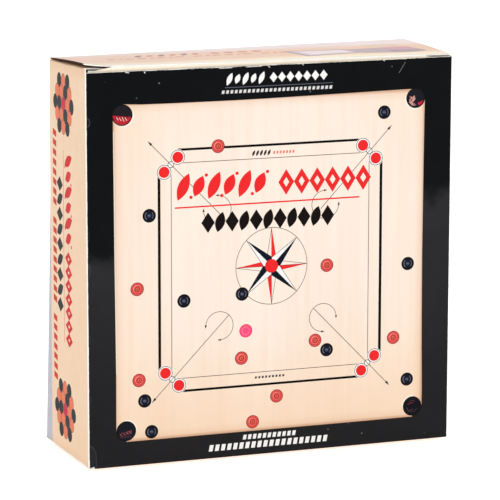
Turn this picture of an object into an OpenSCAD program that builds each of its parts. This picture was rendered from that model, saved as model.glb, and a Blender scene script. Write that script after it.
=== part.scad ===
// Printed tuck-end carton holding a set of nineteen carrom men.
// The carton stands on its bottom closure. Front face towards -Y, top closure towards +Z,
// origin at the centre of the base. All sizes in millimetres.

/* [Carton] */
// Width of the carton, outside (X)
carton_w = 166; // [165:1:180]
// Depth of the carton, outside (Y)
carton_d = 54; // [50:1:70]
// Height of the carton, outside (Z)
carton_h = 170; // [168:1:190]
// Thickness of the paperboard
board_t = 0.6; // [0.4:0.1:1]

/* [Closures] */
// Length of each dust flap from its crease
dust_len = 40; // [30:1:42]
// Distance that a dust flap's rear edge tapers in for each mm of its length
dust_taper = 0.48; // [0.46:0.01:0.5]
// Length of the tuck flap that slides behind the front panel
tuck_len = 12.5; // [10:0.5:13]
// Angle at which the tuck flap leans in from the front panel
tuck_lean = 10; // [9:1:12]
// Corner radius of the tuck flap
tuck_r = 9; // [4:1:10]
// Length of the slit lock at each end of the lid's front crease
slit_len = 12; // [6:1:20]

/* [Glue flap] */
// Width of the glued side flap
glue_w = 15; // [10:1:18]
// Height that the glue flap's ends taper over
glue_taper = 12; // [6:1:20]

/* [Insert] */
// Distance of the platform's face behind the carton's centre plane
deck_y = 0; // [-2:1:4]
// Thickness of the foam nest
nest_t = 6; // [5:0.5:7]
// Side clearance between the insert and the carton
insert_gap = 0.5; // [0.3:0.1:1]

/* [Carrom men] */
// Diameter of one carrom man
man_d = 31; // [30.2:0.1:31.4]
// Thickness of one carrom man
man_t = 8; // [7:0.1:9]
// Centre distance of neighbouring men in the nest
man_pitch = 31.5; // [31.5:0.1:31.8]
// Clearance between the outer men and the nest's wall
nest_gap = 0.3; // [0.2:0.1:0.5]

/* [Hidden] */
$fn = 96;

// gap left at a crease, between a panel and the flap that folds off it
crease = 0.1;
// running gap between the tuck flap and the front panel
play = 0.3;

x0 = -carton_w / 2;
y0 = -carton_d / 2;
// a side panel stops this far short of the carton's ends, under the closing panels
side_end = board_t + crease;
// where the lid's front crease lies
tuck_y = y0 + board_t + play;
// the tuck flap starts this far down from its crease, clear of the lid's underside
tuck_start = board_t * (1 + tan(tuck_lean)) + 2 * crease;
// front edge of a dust flap, clear of the tuck flap's sweep
dust_front = y0 + 3 * board_t + play + 0.7;
// inner ends of the closures, between which the insert stands
inner_z = 2 * board_t + 2 * crease + insert_gap;
// a man's back stands this far off the platform's face
face_gap = 0.1;

print_cream = [0.96, 0.88, 0.77];
print_side = [0.95, 0.84, 0.70];
print_black = [0.09, 0.09, 0.10];
print_grey = [0.84, 0.84, 0.88];
board_back = [0.72, 0.69, 0.63];

// ---- carton walls -------------------------------------------------------

module front_panel() {
    color(print_black)
        translate([x0, y0, 0]) cube([carton_w, board_t, carton_h]);
}

module back_panel() {
    color(print_grey)
        translate([x0, -y0 - board_t, 0]) cube([carton_w, board_t, carton_h]);
}

module side_panel() {
    translate([x0, y0 + board_t, side_end])
        cube([board_t, carton_d - 2 * board_t, carton_h - 2 * side_end]);
}

module left_panel() {
    color(print_side) side_panel();
}

module right_panel() {
    color(print_side) mirror([1, 0, 0]) side_panel();
}

// folds off the back panel and is glued inside the left panel
module glue_flap() {
    lo = 6;
    hi = carton_h - 6;
    y1 = -y0 - board_t;
    color(print_grey)
        translate([x0 + 2 * board_t, 0, 0]) rotate([0, -90, 0])
            linear_extrude(height = board_t)
                polygon([[lo, y1], [hi, y1], [hi - glue_taper, y1 - glue_w], [lo + glue_taper, y1 - glue_w]]);
}

// ---- closures: modelled for the top, mirrored for the bottom --------------

// flips a top piece to the carton's other end
module at_bottom() {
    translate([0, 0, carton_h]) mirror([0, 0, 1]) children();
}

// closing panel, creased to the back panel; the small corner cuts open the slit locks
module lid() {
    half = carton_w / 2 - 0.4;
    front = tuck_y;
    back = -y0 - board_t - crease;
    translate([0, 0, carton_h - board_t])
        linear_extrude(height = board_t)
            polygon([[-half, front + 0.6], [-half + 1, front], [half - 1, front], [half, front + 0.6],
                [half, back], [-half, back]]);
}

// outline of the tuck flap: length along -Y from its crease, round free corners,
// shoulders cut back behind the slit locks
module tuck_outline() {
    half = carton_w / 2 - 2 * board_t - 0.6;
    tip = tuck_start + tuck_len;
    difference() {
        union() {
            translate([-half, -tip + tuck_r]) square([2 * half, tuck_len - tuck_r]);
            translate([-half + tuck_r, -tip]) square([2 * half - 2 * tuck_r, tuck_len]);
            for (s = [-1, 1])
                intersection() {
                    translate([s * (half - tuck_r), -tip + tuck_r]) circle(r = tuck_r);
                    translate([-half, -tip]) square([2 * half, tuck_len]);
                }
        }
        for (s = [-1, 1])
            translate([s * (half - slit_len / 2 + 2) - slit_len / 2 - 2, -tuck_start - 0.8])
                square([slit_len + 4, 1.6]);
    }
}

// leans in from the lid's front crease, behind the front panel
module tuck_flap() {
    translate([0, tuck_y, carton_h]) rotate([tuck_lean, 0, 0])
        translate([0, board_t, 0]) rotate([90, 0, 0])
            linear_extrude(height = board_t) tuck_outline();
}

// creased to the left panel, lying under the lid
module dust_flap() {
    s0 = board_t + crease;
    back = -y0 - board_t - 1;
    // the rear edge keeps clear of the lid as both swing open
    function rear(s) = -y0 - 2 - dust_taper * s;
    color(print_side)
        translate([x0, 0, carton_h - side_end - board_t])
            linear_extrude(height = board_t)
                polygon([[s0, dust_front], [dust_len - 3, dust_front], [dust_len, dust_front + 3],
                    [dust_len, rear(dust_len) - 2], [dust_len - 2, rear(dust_len - 2)], [s0, rear(s0)]]);
}

module top_lid() {
    color(print_cream) lid();
}
module top_tuck_flap() {
    color(print_cream) tuck_flap();
}
module top_dust_flap_left() {
    dust_flap();
}
module top_dust_flap_right() {
    mirror([1, 0, 0]) dust_flap();
}
module bottom_lid() {
    color(print_black) at_bottom() lid();
}
module bottom_tuck_flap() {
    color(print_cream) at_bottom() tuck_flap();
}
module bottom_dust_flap_left() {
    at_bottom() dust_flap();
}
module bottom_dust_flap_right() {
    at_bottom() mirror([1, 0, 0]) dust_flap();
}

// ---- insert -----------------------------------------------------------------

insert_half = carton_w / 2 - 2 * board_t - insert_gap;
insert_h = carton_h - 2 * inner_z;

// folded board: a face and four skirts that reach back to the back panel
module insert_platform() {
    depth = -y0 - board_t - crease - deck_y;
    color(board_back)
        translate([0, deck_y, inner_z])
            difference() {
                translate([-insert_half, 0, 0]) cube([2 * insert_half, depth, insert_h]);
                translate([-insert_half + board_t, board_t, board_t])
                    cube([2 * (insert_half - board_t), depth, insert_h - 2 * board_t]);
            }
}

// outline that wraps the hexagon of men: straight sides, round corners
module hex_window() {
    r = man_d / 2 + nest_gap;
    reach = 2 * man_pitch;
    for (a = [0:60:300]) rotate(a) translate([reach, 0]) circle(r = r);
    polygon([for (i = [0:5]) for (e = [-30, 30])
        let (a = 60 * i) [reach * cos(a) + r * cos(a + e), reach * sin(a) + r * sin(a + e)]]);
}

// soft foam sheet with the hexagonal cut-out, glued on the platform's face
module foam_nest() {
    color([0.13, 0.13, 0.15])
        translate([0, deck_y, carton_h / 2]) rotate([90, 0, 0])
            linear_extrude(height = nest_t)
                difference() {
                    square([2 * insert_half, insert_h], center = true);
                    hex_window();
                }
}

// ---- carrom men ---------------------------------------------------------------

// half section of one man, from its axis out: dished centre, two turned rings, round edge
module man_section() {
    r = man_d / 2;
    h = man_t / 2;
    ring = [[0, h - 0.9], [2.6, h - 0.9], [3.2, h - 0.35], [5.2, h - 0.35], [5.7, h - 0.8],
        [6.7, h - 0.8], [7.2, h], [9.6, h], [10.1, h - 0.5], [11.1, h - 0.5], [11.6, h],
        [r - 1.6, h], [r - 0.7, h - 0.35], [r - 0.15, h - 1.2], [r, h - 2.2]];
    polygon(concat(ring, [for (i = [len(ring) - 1:-1:0]) [ring[i][0], -ring[i][1]]]));
}

// one man, standing on edge with its face towards -Y
module man(pos) {
    translate([pos[0], deck_y - face_gap - man_t / 2, carton_h / 2 + pos[1]])
        rotate([90, 0, 0]) rotate_extrude() man_section();
}

// centre, inner ring of six and outer ring of twelve, as the game is set out
function inner_ring(i) = man_pitch * [cos(60 * i), sin(60 * i)];
function outer_corner(i) = 2 * man_pitch * [cos(60 * i), sin(60 * i)];
function outer_side(i) = man_pitch * sqrt(3) * [cos(60 * i + 30), sin(60 * i + 30)];

natural = [for (i = [1, 3, 5]) inner_ring(i), for (i = [0:5]) outer_side(i)];
black = [for (i = [0, 2, 4]) inner_ring(i), for (i = [0:5]) outer_corner(i)];

module coin_queen() {
    color([0.86, 0.16, 0.33]) man([0, 0]);
}
module coin_black(i) {
    color([0.10, 0.10, 0.11]) man(black[i - 1]);
}
module coin_natural(i) {
    color([0.90, 0.52, 0.36]) man(natural[i - 1]);
}

front_panel();
back_panel();
left_panel();
right_panel();
glue_flap();
top_lid();
top_tuck_flap();
top_dust_flap_left();
top_dust_flap_right();
bottom_lid();
bottom_tuck_flap();
bottom_dust_flap_left();
bottom_dust_flap_right();
insert_platform();
foam_nest();
coin_queen();
coin_black(1);  // coin_black_1
coin_black(2);  // coin_black_2
coin_black(3);  // coin_black_3
coin_black(4);  // coin_black_4
coin_black(5);  // coin_black_5
coin_black(6);  // coin_black_6
coin_black(7);  // coin_black_7
coin_black(8);  // coin_black_8
coin_black(9);  // coin_black_9
coin_natural(1);  // coin_natural_1
coin_natural(2);  // coin_natural_2
coin_natural(3);  // coin_natural_3
coin_natural(4);  // coin_natural_4
coin_natural(5);  // coin_natural_5
coin_natural(6);  // coin_natural_6
coin_natural(7);  // coin_natural_7
coin_natural(8);  // coin_natural_8
coin_natural(9);  // coin_natural_9
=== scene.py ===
"""A printed tuck-end carton and the nineteen carrom men inside it."""
import math

import bmesh
import bpy
import numpy as np
from mathutils import Matrix, Vector, geometry


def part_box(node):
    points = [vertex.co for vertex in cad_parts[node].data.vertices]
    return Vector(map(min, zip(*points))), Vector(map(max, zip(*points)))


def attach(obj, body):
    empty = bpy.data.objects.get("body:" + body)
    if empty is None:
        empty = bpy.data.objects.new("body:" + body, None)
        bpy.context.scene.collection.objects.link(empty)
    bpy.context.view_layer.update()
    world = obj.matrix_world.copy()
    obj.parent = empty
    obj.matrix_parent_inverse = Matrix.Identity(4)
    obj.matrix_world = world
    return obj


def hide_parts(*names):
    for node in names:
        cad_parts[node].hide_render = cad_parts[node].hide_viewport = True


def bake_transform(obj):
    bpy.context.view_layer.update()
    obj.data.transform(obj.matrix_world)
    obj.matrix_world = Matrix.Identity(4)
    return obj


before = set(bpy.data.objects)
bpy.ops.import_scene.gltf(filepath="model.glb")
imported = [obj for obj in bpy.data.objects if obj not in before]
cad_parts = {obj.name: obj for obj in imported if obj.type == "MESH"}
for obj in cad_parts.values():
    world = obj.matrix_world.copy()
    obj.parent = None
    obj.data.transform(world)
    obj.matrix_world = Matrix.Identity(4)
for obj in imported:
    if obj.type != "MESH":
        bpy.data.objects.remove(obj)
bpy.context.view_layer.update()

MM = 0.001
PI = math.pi

# ---- sizes from the frame, in millimetres ----------------------------------------


def box_mm(node):
    lo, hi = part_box(node)
    return np.array(lo) / MM, np.array(hi) / MM


f_lo, f_hi = box_mm("front_panel")
b_lo, b_hi = box_mm("back_panel")
HW = f_hi[0]  # half width
YF, YB = f_lo[1], b_hi[1]  # front and back faces
H = f_hi[2]  # height
T = f_hi[1] - f_lo[1]  # board thickness
R = 0.7  # outer radius of a crease
lid_lo, lid_hi = box_mm("top_lid")
LW = lid_hi[0]  # half width of a lid
YT = lid_lo[1]  # where a lid's front crease lies
tuck_lo, tuck_hi = box_mm("top_tuck_flap")
TW = tuck_hi[0]  # half width of a tuck flap
dl_lo, dl_hi = box_mm("top_dust_flap_left")
LEAN = math.radians(10)

rng = np.random.default_rng(7)

# ---- small helpers -------------------------------------------------------------------


def lin(c, lit=1.0):
    """sRGB 0-255 to linear, divided by how brightly the face is lit."""
    out = []
    for v in c:
        v = v / 255
        v = v / 12.92 if v <= 0.04045 else ((v + 0.055) / 1.055) ** 2.4
        out.append(min(0.98, v / lit))
    return tuple(out)


def smooth(x, a=0.0, b=1.0):
    t = np.clip((np.asarray(x, float) - a) / (b - a), 0, 1)
    return t * t * (3 - 2 * t)


class Mat:
    """A Principled material with short names for the nodes used here."""

    def __init__(self, name):
        self.m = bpy.data.materials.new(name)
        self.m.use_nodes = True
        self.t = self.m.node_tree
        self.t.nodes.clear()
        out = self.t.nodes.new("ShaderNodeOutputMaterial")
        self.b = self.t.nodes.new("ShaderNodeBsdfPrincipled")
        self.t.links.new(self.b.outputs[0], out.inputs[0])
        self.obj = self.t.nodes.new("ShaderNodeTexCoord").outputs["Object"]

    def put(self, value, socket):
        if isinstance(value, bpy.types.NodeSocket):
            self.t.links.new(value, socket)
        elif value is not None:
            if isinstance(value, (tuple, list)) and len(value) == 3 and socket.type == "RGBA":
                value = (*value, 1)
            socket.default_value = value

    def math(self, op, a, b=None, c=None, clamp=False):
        n = self.t.nodes.new("ShaderNodeMath")
        n.operation, n.use_clamp = op, clamp
        for v, s in zip((a, b, c), n.inputs):
            self.put(v, s)
        return n.outputs[0]

    def xyz(self, vec=None):
        n = self.t.nodes.new("ShaderNodeSeparateXYZ")
        self.put(vec or self.obj, n.inputs[0])
        return n.outputs[0], n.outputs[1], n.outputs[2]

    def stretch(self, scale, vec=None, move=(0, 0, 0), turn=(0, 0, 0)):
        n = self.t.nodes.new("ShaderNodeMapping")
        self.put(vec or self.obj, n.inputs["Vector"])
        n.inputs["Scale"].default_value = scale
        n.inputs["Location"].default_value = move
        n.inputs["Rotation"].default_value = turn
        return n.outputs[0]

    def noise(self, scale, detail=2.0, rough=0.5, vec=None, distort=0.0):
        n = self.t.nodes.new("ShaderNodeTexNoise")
        self.put(vec or self.obj, n.inputs["Vector"])
        n.inputs["Scale"].default_value = scale
        n.inputs["Detail"].default_value = detail
        n.inputs["Roughness"].default_value = rough
        n.inputs["Distortion"].default_value = distort
        return n.outputs["Fac"]

    def cells(self, scale, vec=None, feature="F1"):
        n = self.t.nodes.new("ShaderNodeTexVoronoi")
        n.feature = feature
        self.put(vec or self.obj, n.inputs["Vector"])
        n.inputs["Scale"].default_value = scale
        return n.outputs["Distance"]

    def range(self, x, a, b, lo=0.0, hi=1.0, soft=True):
        n = self.t.nodes.new("ShaderNodeMapRange")
        n.interpolation_type = "SMOOTHSTEP" if soft else "LINEAR"
        self.put(x, n.inputs["Value"])
        for name, v in (("From Min", a), ("From Max", b), ("To Min", lo), ("To Max", hi)):
            n.inputs[name].default_value = v
        return n.outputs["Result"]

    def mix(self, f, a, b, how="MIX"):
        n = self.t.nodes.new("ShaderNodeMix")
        n.data_type, n.blend_type = "RGBA", how
        self.put(f, n.inputs[0])
        self.put(a, n.inputs[6])
        self.put(b, n.inputs[7])
        return n.outputs[2]

    def attr(self, name, kind="Color"):
        n = self.t.nodes.new("ShaderNodeAttribute")
        n.attribute_name = name
        return n.outputs[kind]

    def bump(self, *layers):
        """layers of (height socket, depth in mm)."""
        normal = None
        for height, depth in layers:
            n = self.t.nodes.new("ShaderNodeBump")
            n.inputs["Strength"].default_value = 1.0
            n.inputs["Distance"].default_value = depth * MM
            self.put(height, n.inputs["Height"])
            if normal is not None:
                self.t.links.new(normal, n.inputs["Normal"])
            normal = n.outputs[0]
        self.t.links.new(normal, self.b.inputs["Normal"])

    def set(self, **kw):
        names = {
            "color": "Base Color",
            "rough": "Roughness",
            "spec": "Specular IOR Level",
            "coat": "Coat Weight",
            "coat_rough": "Coat Roughness",
            "ior": "IOR",
        }
        for k, v in kw.items():
            self.put(v, self.b.inputs[names[k]])
        return self


def varnished(m, rough=0.42, spec=0.12):
    """Satin overprint varnish on clay-coated board: fine fibre, slow unevenness."""
    fibre = m.noise(2600, 3, 0.6)
    slow = m.noise(55, 2, 0.5)
    wave = m.noise(14, 1, 0.5)
    r = m.math("MULTIPLY_ADD", slow, 0.16, rough - 0.08)
    r = m.math("MULTIPLY_ADD", fibre, 0.06, r)
    m.set(rough=r, spec=spec)
    m.bump((wave, 0.12), (slow, 0.03), (fibre, 0.004))
    return m


def tinted(m, color, amount=0.05, scale=420):
    """The colour with a slight mottling of the ink."""
    n = m.noise(scale, 3, 0.6)
    f = m.range(n, 0.3, 0.7, 0, 1, False)
    dark = tuple(v * (1 - amount) for v in color)
    light = tuple(min(1, v * (1 + amount * 0.6)) for v in color)
    return m.mix(f, dark, light)


# ---- materials ---------------------------------------------------------------------------

LF, LS, LL = 1.27, 1.28, 1.10  # how brightly the front, side and lid are lit


def field_material():
    """Print of a pale wooden playing surface: warmer and darker towards its frame."""
    m = Mat("print_field")
    x, y, z = m.xyz()
    # distance in from the printed frame
    dx = m.math("SUBTRACT", 0.07075, m.math("ABSOLUTE", m.math("ADD", x, 0.00045)))
    dz = m.math("SUBTRACT", 0.0728, m.math("ABSOLUTE", m.math("SUBTRACT", z, 0.08355)))
    d = m.math("MINIMUM", dx, dz)
    middle = m.range(
        m.math("SQRT", m.math("ADD", m.math("POWER", x, 2), m.math("POWER", m.math("SUBTRACT", z, 0.098), 2))),
        0.03, 0.098)
    low = m.range(z, 0.062, 0.008)
    tone = m.math("ADD", m.math("MULTIPLY", middle, 0.42), m.math("MULTIPLY", low, 0.5), clamp=True)
    base = m.mix(tone, lin((254, 239, 226), LF), lin((250, 220, 190), LF))
    grain = m.noise(1.0, 4, 0.6, vec=m.stretch((420, 60, 16)))
    figure = m.noise(1.0, 3, 0.5, vec=m.stretch((90, 20, 9)), distort=0.4)
    g = m.math("ADD", m.math("MULTIPLY", m.range(grain, 0.35, 0.7), 0.17),
               m.math("MULTIPLY", m.range(figure, 0.4, 0.75), 0.20))
    base = m.mix(g, base, lin((244, 208, 176), LF))
    shade = m.range(d, 0.0052, 0.0, 0, 0.34)
    base = m.mix(shade, base, lin((226, 176, 136), LF))
    rim = m.range(d, 0.0016, 0.0, 0, 0.62)
    base = m.mix(rim, base, lin((196, 140, 100), LF))
    m.set(color=base)
    return varnished(m).m


def border_material():
    """Solid black print with dust specks and faint rub marks, and a painted reflection: a lighter black below a wavy
    slanting line, fading darker towards the bottom.
    """
    m = Mat("print_border")
    n = m.noise(60, 3, 0.6)
    x, y, z = m.xyz()
    wavy = m.noise(1.0, 3, 0.6, vec=m.stretch((70, 70, 70)))
    # painted reflection: below a wavy slanting line the black is lighter, as the pale floor reflected in the gloss, and
    # darker again towards the bottom
    reflection_line = m.math("ADD", m.math("SUBTRACT", z, m.math("MULTIPLY", x, 0.115)), m.math("MULTIPLY", m.math("SUBTRACT", wavy, 0.5), 0.024))
    painted_reflection = m.range(reflection_line, 0.106, 0.094)
    low = m.range(z, 0.10, 0.01)
    reflected_black = m.mix(low, lin((37, 37, 39)), lin((27, 26, 28)))
    base = m.mix(painted_reflection, lin((2, 4, 7)), reflected_black)
    base = m.mix(m.range(n, 0.3, 0.75, 0, 0.25), base, lin((16, 16, 18)))
    rub = m.noise(1.0, 3, 0.65, vec=m.stretch((240, 60, 30), turn=(0, 0.5, 0)))
    base = m.mix(m.range(rub, 0.68, 0.86, 0, 0.16), base, lin((120, 118, 118)))
    dots = m.cells(190)
    keep = m.range(m.noise(36, 1, 0.5), 0.56, 0.62)
    speck = m.math("MULTIPLY", m.range(dots, 0.10, 0.03), keep)
    base = m.mix(m.math("MULTIPLY", speck, 0.35), base, lin((180, 176, 172)))
    m.set(color=base)
    return varnished(m, 0.34, 0.06).m


def ink_material():
    """Spot inks: the colour comes from the printed artwork."""
    m = Mat("print_ink")
    n = m.noise(900, 2, 0.6)
    base = m.mix(m.range(n, 0.3, 0.7, 0, 0.35, False), m.attr("ink"), (0.74, 0.72, 0.70), "MULTIPLY")
    m.set(color=base)
    return varnished(m, 0.42, 0.07).m


def side_material():
    m = Mat("print_side")
    x, y, z = m.xyz()
    base = tinted(m, lin((250, 217, 183), LS), 0.03, 260)
    cloud = m.noise(26, 2, 0.5)
    base = m.mix(m.range(cloud, 0.35, 0.75, 0, 0.3), base, lin((247, 206, 170), LS))
    # painted shade: the side print darkens within about 6 mm of its top and bottom, under the lid's overhang and along
    # the floor
    edge = m.range(m.math("ABSOLUTE", m.math("SUBTRACT", z, 0.085)), 0.079, 0.0855, 0, 0.45)
    base = m.mix(edge, base, lin((238, 188, 146), LS))
    m.set(color=base)
    return varnished(m).m


def lid_material():
    m = Mat("print_lid")
    x, y, z = m.xyz()
    front = m.range(y, -0.0125, -0.0240)
    base = m.mix(front, lin((240, 205, 180), 1.04), lin((255, 237, 210), 0.98))
    rear = m.range(m.math("MULTIPLY_ADD", x, 0.067, y), 0.0050, 0.0206, 0, 0.85)
    base = m.mix(rear, base, lin((243, 234, 238), 1.04))
    # painted highlight: a bright band along the lid's front lip, where its rounded crease catches the light
    lip_highlight = m.range(y, -0.0225, -0.0262, 0, 0.7)
    base = m.mix(lip_highlight, base, lin((255, 252, 240), 1.16))
    left = m.range(x, 0.01, -0.07, 0, 0.35)
    base = m.mix(left, base, lin((236, 212, 200), LL))
    cloud = m.noise(40, 3, 0.6)
    base = m.mix(m.range(cloud, 0.35, 0.75, 0, 0.18), base, lin((232, 190, 158), LL))
    m.set(color=base)
    return varnished(m).m


def plain_material(name, rgb, lit=1.1, amount=0.04):
    m = Mat(name)
    m.set(color=tinted(m, lin(rgb, lit), amount, 300))
    return varnished(m).m


def board_material(name, rgb, fleck=0.5):
    """Uncoated side of recycled board: fibres and dark flecks."""
    m = Mat(name)
    base = lin(rgb)
    fibre = m.noise(1.0, 4, 0.65, vec=m.stretch((2200, 900, 700)))
    cloud = m.noise(120, 2, 0.5)
    c = m.mix(m.range(fibre, 0.3, 0.7, 0, 1, False), tuple(v * 0.86 for v in base), tuple(min(1, v * 1.08) for v in base))
    c = m.mix(m.range(cloud, 0.35, 0.7, 0, 0.3), c, tuple(v * 0.85 for v in base))
    dots = m.range(m.cells(700), 0.16, 0.05)
    c = m.mix(m.math("MULTIPLY", dots, fleck), c, tuple(v * 0.45 for v in base))
    m.set(color=c, rough=m.math("MULTIPLY_ADD", fibre, 0.15, 0.8), spec=0.2)
    m.bump((cloud, 0.03), (fibre, 0.02))
    return m.m


def fold_material(name, a, b, lit=1.1, crack=0.5, width=0.22, centre=0.5, raw=(250, 246, 240)):
    """Ink of the two panels on either side of a crease, split by a worn white line."""
    m = Mat(name)
    t = m.attr("across", "Fac")
    wob = m.noise(1.0, 3, 0.7, vec=m.stretch((300, 300, 300)))
    fine = m.noise(2400, 2, 0.6)
    t2 = m.math("ADD", t, m.math("MULTIPLY", m.math("SUBTRACT", wob, 0.5), 0.30))
    t2 = m.math("ADD", t2, m.math("MULTIPLY", m.math("SUBTRACT", fine, 0.5), 0.14))
    side = m.range(t2, centre - 0.03, centre + 0.03)
    base = m.mix(side, lin(a, 1.3), lin(b, 1.27))
    gone = m.range(m.math("ABSOLUTE", m.math("SUBTRACT", t2, centre)), width, width * 0.55)
    where = m.range(m.noise(1.0, 3, 0.6, vec=m.stretch((90, 90, 90), move=(3, 1, 2))), 0.62 - crack * 0.5, 0.72 - crack * 0.5)
    base = m.mix(m.math("MULTIPLY", gone, where), base, lin(raw, lit))
    m.set(color=base, rough=m.math("MULTIPLY_ADD", gone, 0.3, 0.45), spec=0.18)
    m.bump((gone, 0.03), (fine, 0.01))
    return m.m


def lacquer_material(name, rgb, ring, grain_amount):
    """Turned and lacquered hardwood: grain under a glossy coat, a ring colour on two grooves, and wear in the roughness
    and bump.
    """
    m = Mat(name)
    base = lin(rgb)
    seed = m.attr("seed", "Fac")
    n = m.t.nodes.new("ShaderNodeCombineXYZ")
    m.put(seed, n.inputs[0]), m.put(seed, n.inputs[1])
    add = m.t.nodes.new("ShaderNodeVectorMath")
    m.t.links.new(m.obj, add.inputs[0])
    m.t.links.new(n.outputs[0], add.inputs[1])
    at = add.outputs[0]
    grain = m.noise(1.0, 4, 0.6, vec=m.stretch((150, 900, 900), vec=at))
    pores = m.noise(1.0, 2, 0.5, vec=m.stretch((300, 4200, 4200), vec=at))
    c = m.mix(m.range(grain, 0.3, 0.7, 0, 1), tuple(v * (1 - grain_amount) for v in base), tuple(min(1, v * (1 + grain_amount * 0.5)) for v in base))
    c = m.mix(m.range(pores, 0.6, 0.75, 0, 0.35), c, tuple(v * 0.5 for v in base))
    x, y, z = m.xyz()
    rad = m.math("SQRT", m.math("ADD", m.math("POWER", x, 2), m.math("POWER", z, 2)))
    line = m.range(m.math("ABSOLUTE", m.math("SUBTRACT", rad, 0.0062)), 0.0009, 0.0004)
    line2 = m.range(m.math("ABSOLUTE", m.math("SUBTRACT", rad, 0.0106)), 0.0009, 0.0004)
    c = m.mix(m.math("MULTIPLY", m.math("MAXIMUM", line, line2), 0.7), c, lin(ring))
    turned = m.noise(1.0, 1, 0.5, vec=m.stretch((9000, 1, 1), vec=m.ring_vec(rad)))
    wear = m.noise(240, 3, 0.6)
    m.set(color=c, rough=m.math("MULTIPLY_ADD", wear, 0.2, 0.2), spec=0.45, coat=0.6, coat_rough=0.12)
    m.bump((grain, 0.02), (turned, 0.012), (wear, 0.006))
    return m.m


def _ring_vec(self, rad):
    n = self.t.nodes.new("ShaderNodeCombineXYZ")
    self.put(rad, n.inputs[0])
    return n.outputs[0]


Mat.ring_vec = _ring_vec


def foam_material():
    m = Mat("foam_closed_cell")
    cells = m.cells(1500)
    big = m.noise(220, 3, 0.6)
    c = m.mix(m.range(cells, 0.0, 0.6), lin((58, 58, 62)), lin((34, 34, 38)))
    c = m.mix(m.range(big, 0.3, 0.75, 0, 0.5), c, lin((48, 48, 53)))
    m.set(color=c, rough=m.math("MULTIPLY_ADD", cells, 0.1, 0.86), spec=0.2)
    m.bump((big, 0.10), (cells, 0.05))
    return m.m


M_FIELD = field_material()
M_BORDER = border_material()
M_INK = ink_material()
M_SIDE = side_material()
M_LID = lid_material()
M_BACK = plain_material("print_back", (184, 182, 192))
M_CREAM = plain_material("print_cream", (253, 240, 218))
M_INNER = board_material("board_inner", (196, 190, 180))
M_RAW = board_material("board_raw_edge", (246, 242, 234), 0.2)


def lid_rim_material():
    """Cut edge of the top lid: raw board, with painted shade darkening it along its left side, where the gap under the
    lid lies in shadow.
    """
    m = Mat("board_lid_edge")
    x, y, z = m.xyz()
    fibre = m.noise(1.0, 4, 0.65, vec=m.stretch((2200, 900, 700)))
    # painted shade on the left side of the lid's cut edge
    painted_gap_shade = m.math("MULTIPLY", m.range(x, -0.0802, -0.0812), m.range(y, -0.0248, -0.0215))
    c = m.mix(m.range(fibre, 0.3, 0.7), lin((222, 216, 206)), lin((250, 246, 238)))
    c = m.mix(painted_gap_shade, c, lin((62, 42, 32)))
    m.set(color=c, rough=m.math("MULTIPLY_ADD", fibre, 0.12, 0.8), spec=0.2)
    m.bump((fibre, 0.02))
    return m.m


M_LID_RIM = lid_rim_material()
M_INSERT = board_material("insert_board", (178, 171, 160))
M_FOAM = foam_material()

# ---- mesh helpers ----------------------------------------------------------------------------


def add_object(name, verts, faces, mats, index=None, flat=False):
    me = bpy.data.meshes.new(name)
    me.from_pydata((np.asarray(verts, float) * MM).tolist(), [], [list(map(int, f)) for f in faces])
    for m in mats:
        me.materials.append(m)
    if index is not None:
        me.polygons.foreach_set("material_index", np.asarray(index, np.int32))
    me.polygons.foreach_set("use_smooth", np.full(len(me.polygons), not flat))
    me.update()
    ob = bpy.data.objects.new(name, me)
    bpy.context.collection.objects.link(ob)
    return ob


def outward(ob):
    """Closed mesh: all faces turned outwards, sharp where faces meet steeply."""
    bm = bmesh.new()
    bm.from_mesh(ob.data)
    bmesh.ops.recalc_face_normals(bm, faces=bm.faces)
    for e in bm.edges:
        if len(e.link_faces) == 2 and e.calc_face_angle(0) > math.radians(50):
            e.smooth = False
    bm.to_mesh(ob.data)
    bm.free()
    ob.data.update()
    return ob


def inside(poly, pts):
    """Even-odd test of points against a closed polygon."""
    p = np.asarray(poly, float)
    x, y = pts[:, 0], pts[:, 1]
    res = np.zeros(len(pts), bool)
    j = len(p) - 1
    for i in range(len(p)):
        x1, y1, x2, y2 = p[i, 0], p[i, 1], p[j, 0], p[j, 1]
        if y1 != y2:
            hit = ((y1 > y) != (y2 > y)) & (x < (x2 - x1) * (y - y1) / (y2 - y1) + x1)
            res ^= hit
        j = i
    return res


def grid_points(outline, cell, inset):
    p = np.asarray(outline, float)
    lo, hi = p.min(0), p.max(0)
    nx = max(2, int(round((hi[0] - lo[0]) / cell)))
    ny = max(2, int(round((hi[1] - lo[1]) / cell)))
    gx, gy = np.meshgrid(np.linspace(lo[0] + inset, hi[0] - inset, nx), np.linspace(lo[1] + inset, hi[1] - inset, ny))
    g = np.stack([gx.ravel(), gy.ravel()], 1)
    keep = inside(outline, g)
    # away from the outline itself
    q = np.roll(p, -1, 0)
    for a, b in zip(p, q):
        d = b - a
        t = np.clip(((g - a) @ d) / max(1e-9, d @ d), 0, 1)
        keep &= np.hypot(*(g - (a + t[:, None] * d)).T) > inset * 0.9
    return g[keep]


def divided(loop, step):
    """The loop with its long edges cut into steps."""
    out = []
    p = [tuple(v) for v in loop]
    for a, b in zip(p, p[1:] + p[:1]):
        n = max(1, int(math.ceil(math.dist(a, b) / step)))
        out += [(a[0] + (b[0] - a[0]) * i / n, a[1] + (b[1] - a[1]) * i / n) for i in range(n)]
    return out


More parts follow.
